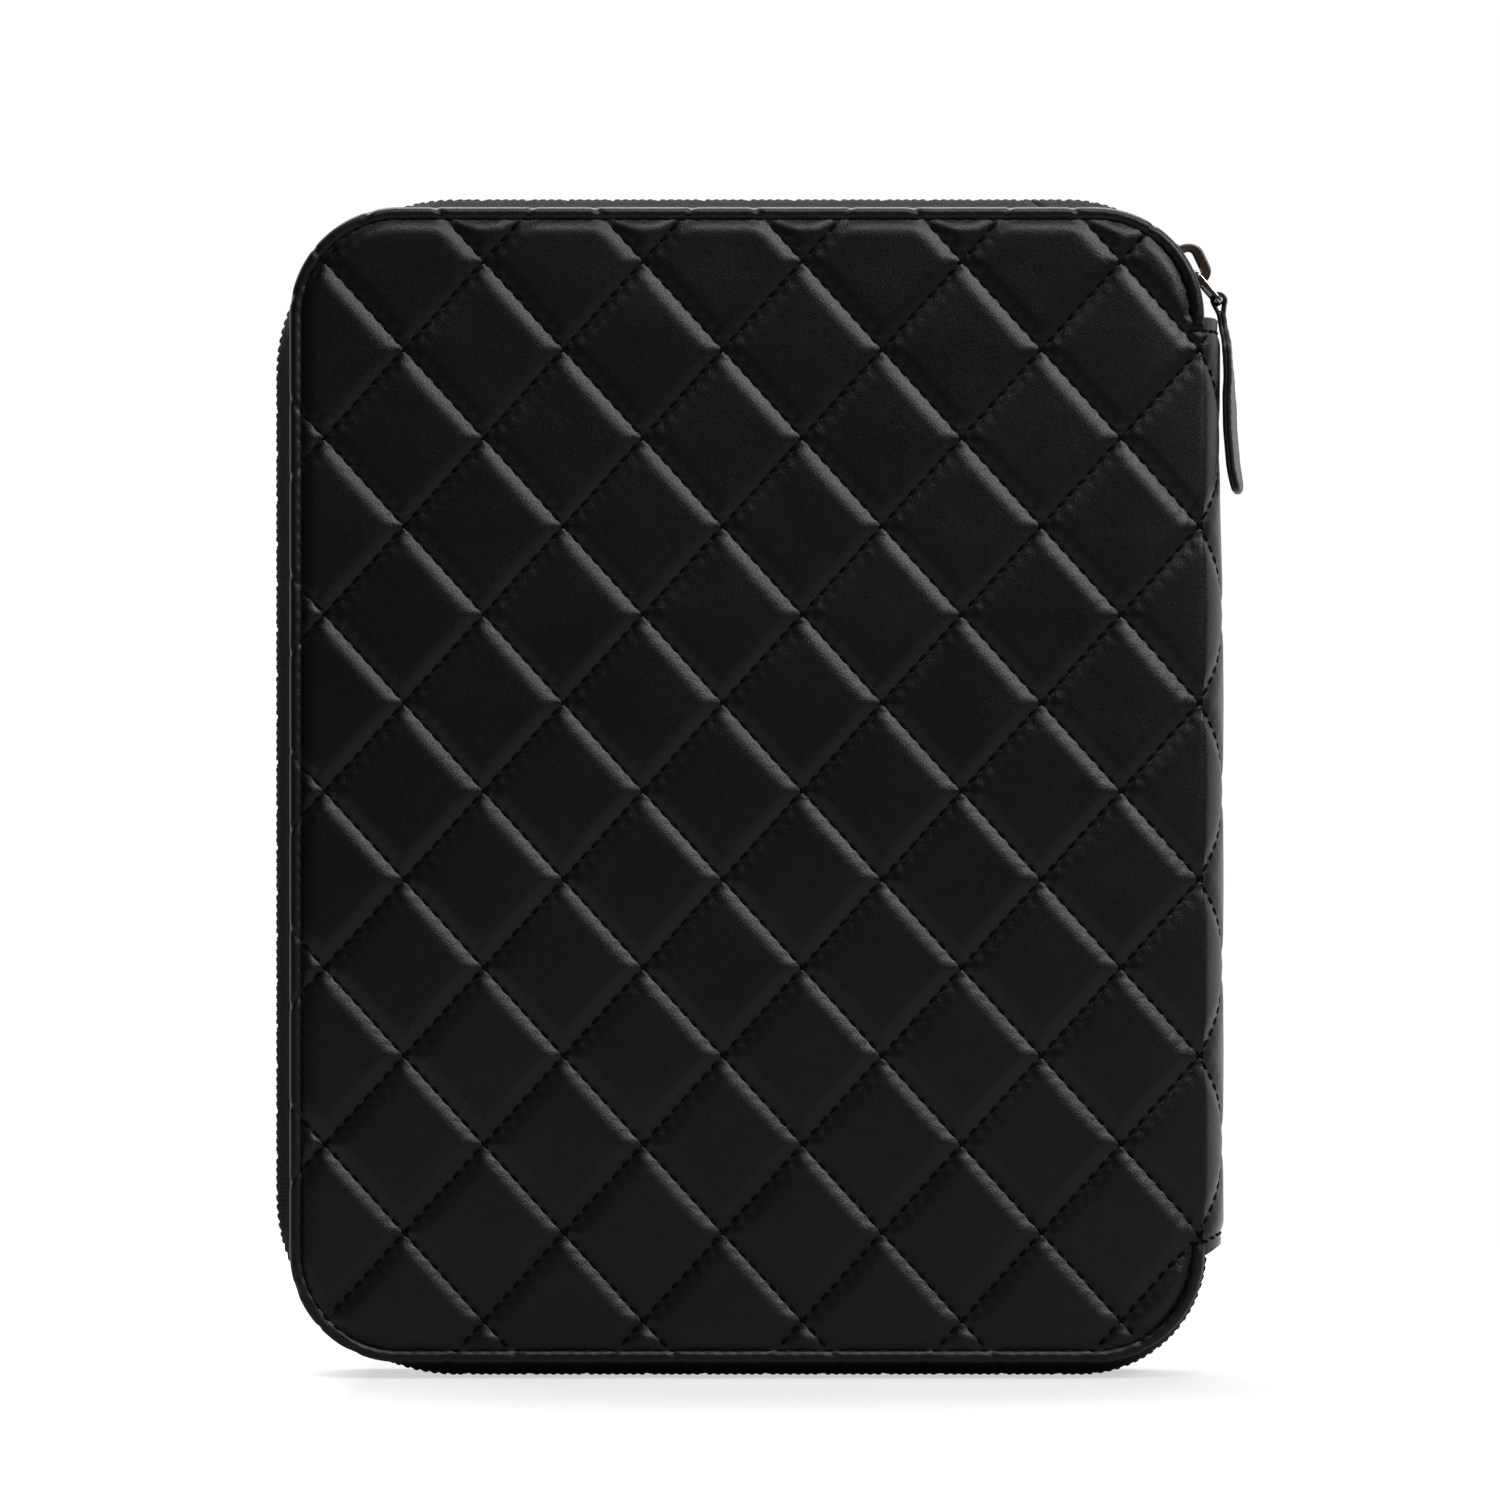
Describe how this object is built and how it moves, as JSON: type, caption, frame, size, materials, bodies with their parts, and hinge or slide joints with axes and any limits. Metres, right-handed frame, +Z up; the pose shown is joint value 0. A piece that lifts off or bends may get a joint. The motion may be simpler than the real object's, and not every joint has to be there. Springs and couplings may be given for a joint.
{
  "type": "leather jewellery case",
  "caption": "Slim zip-around folio case in diamond-quilted leather: two padded covers on a folding spine, a zip round three sides with a leather pull, and ring rolls and slip pockets inside.",
  "frame": {"origin": "centre of the footprint's bounding box, on the surface that the closed case stands on", "axes": "+X across the covers towards the spine, +Y from the front cover to the rear cover, +Z up the standing case"},
  "size_m": [0.207, 0.03, 0.2532],
  "materials": {
    "quilted_leather": "soft black lambskin, low sheen, fine grain",
    "wadding": "thin polyester wadding",
    "board": "grey bookbinder's board",
    "lining": "black suede-finish lining",
    "zip_tape": "black woven tape",
    "zip_metal": "blackened metal",
    "slider_metal": "dark polished plating",
    "link_metal": "polished plating",
    "pull_leather": "black lambskin, sewn double",
    "ring_roll_suede": "black suede over foam",
    "inner_leather": "black smooth leather"
  },
  "bodies": {
    "rear_cover": {"rear_quilted_leather": "quilted_leather", "rear_wadding": "wadding", "rear_board": "board", "rear_lining": "lining", "rear_zip_tape": "zip_tape", "rear_zip_tape_ends": "zip_tape", "rear_zip_top_stop": "zip_metal", "rear_zip_teeth": "zip_metal", "rear_zip_teeth_ends": "zip_metal", "ring_tray": "inner_leather", "ring_rolls": "ring_roll_suede", "rear_pocket": "inner_leather"},
    "spine": {"spine_quilted_leather": "quilted_leather", "spine_board": "board", "spine_lining": "lining", "zip_bottom_stop": "zip_metal"},
    "front_cover": {"front_quilted_leather": "quilted_leather", "front_wadding": "wadding", "front_board": "board", "front_lining": "lining", "front_zip_tape": "zip_tape", "front_zip_tape_ends": "zip_tape", "front_zip_top_stop": "zip_metal", "front_zip_teeth": "zip_metal", "front_zip_teeth_ends": "zip_metal", "front_pocket": "inner_leather", "earring_panel": "lining"},
    "zip_slider": {"zip_slider_body": "slider_metal", "zip_slider_bridge": "slider_metal"},
    "link": {"pull_link": "link_metal"},
    "pull": {"pull_tab": "pull_leather"}
  },
  "joints": [
    {"name": "rear_fold", "type": "hinge", "parent": "rear_cover", "child": "spine", "pos_m": [0.09727, 0.01414, 0.1266], "axis": [0, 0, 1], "range_deg": [0, 90], "deforming": ["rear_zip_tape_ends", "rear_zip_teeth_ends"]},
    {"name": "front_fold", "type": "hinge", "parent": "spine", "child": "front_cover", "pos_m": [0.09727, -0.01414, 0.1266], "axis": [0, 0, 1], "range_deg": [0, 90], "deforming": ["front_zip_tape_ends", "front_zip_teeth_ends"]},
    {"name": "zip_travel", "type": "hinge", "parent": "spine", "child": "zip_slider", "pos_m": [0.06623, 0, 0.22621], "axis": [0, -1, 0], "range_deg": [0, 64]},
    {"name": "link_swing", "type": "hinge", "parent": "zip_slider", "child": "link", "pos_m": [0.09358, 0, 0.23639], "axis": [0, -1, 0], "range_deg": [0, 100]},
    {"name": "pull_swing", "type": "hinge", "parent": "link", "child": "pull", "pos_m": [0.09893, 0, 0.23001], "axis": [0, -1, 0], "range_deg": [0, 80]}
  ],
  "couplings": [
    {"joint": "front_fold", "follows": "rear_fold", "ratio": 1}
  ]
}
